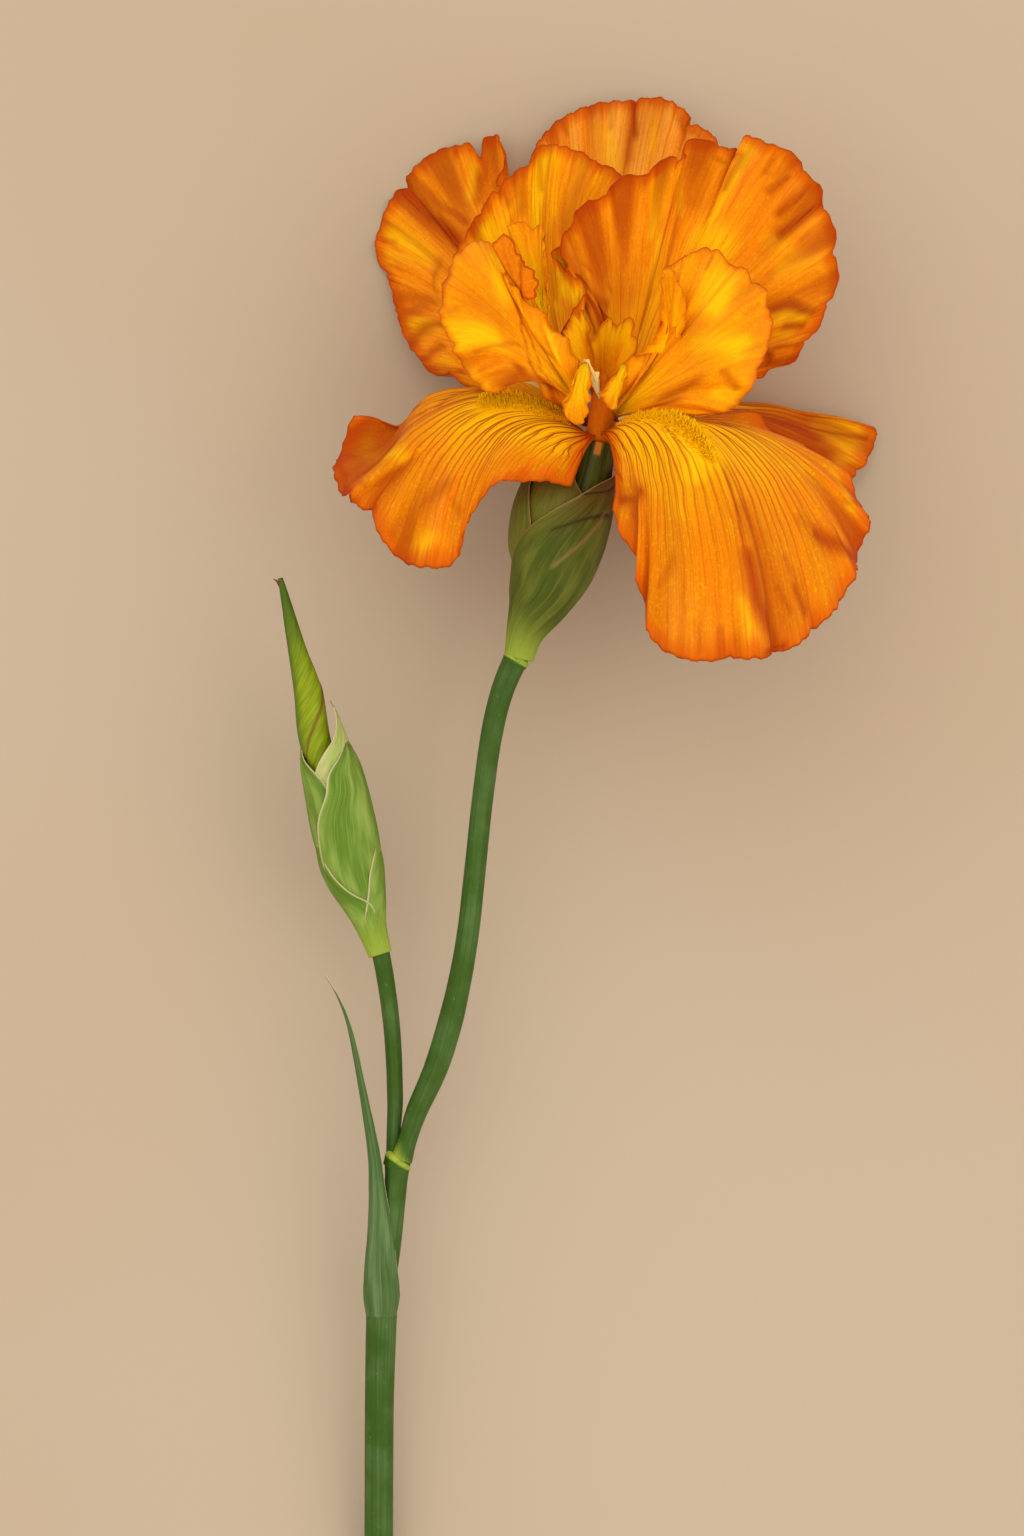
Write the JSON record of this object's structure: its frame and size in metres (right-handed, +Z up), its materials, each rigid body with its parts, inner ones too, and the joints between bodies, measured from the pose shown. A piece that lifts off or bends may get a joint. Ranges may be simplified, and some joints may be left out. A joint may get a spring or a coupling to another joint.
{
  "type": "cut bearded iris flower",
  "caption": "Cut bearded iris lying down, with a ruffled orange flower, a rolled bud, their spathes and stalks, a stem and a small clasping leaf.",
  "frame": {"origin": "middle of the footprint, on the surface that the flower lies on", "axes": "+Y along the stem from its cut end towards the flower, +Z up, away from the surface and out of the flower's front, +X across the flower"},
  "size_m": [0.1774, 0.4546, 0.0929],
  "materials": {
    "fall": "satin, veined",
    "standard": "satin, ruffled",
    "style": "satin",
    "beard": "soft hairs",
    "stamen": "matte",
    "tube": "satin",
    "stem": "satin with a waxy bloom",
    "leaf": "satin with a waxy bloom",
    "flower_spathe": "satin, papery at its margins",
    "bud_spathe": "satin, papery at its margins",
    "bud": "satin"
  },
  "bodies": {
    "root": {"left_fall": "fall", "right_fall": "fall", "back_fall": "fall", "left_standard": "standard", "back_standard": "standard", "middle_standard": "standard", "right_standard": "standard", "left_style_arm": "style", "right_style_arm": "style", "back_style_arm": "style", "left_beard": "beard", "right_beard": "beard", "back_beard": "beard", "left_stamen": "stamen", "right_stamen": "stamen", "back_stamen": "stamen", "perianth_tube": "tube", "main_stem": "stem", "flower_stalk": "stem", "bud_stalk": "stem", "stem_leaf": "leaf", "bud": "bud", "bud_spathe_front": "bud_spathe", "bud_spathe_left": "bud_spathe", "bud_spathe_back": "bud_spathe", "flower_spathe_right": "flower_spathe", "flower_spathe_left": "flower_spathe", "flower_spathe_inner": "flower_spathe"}
  },
  "joints": []
}
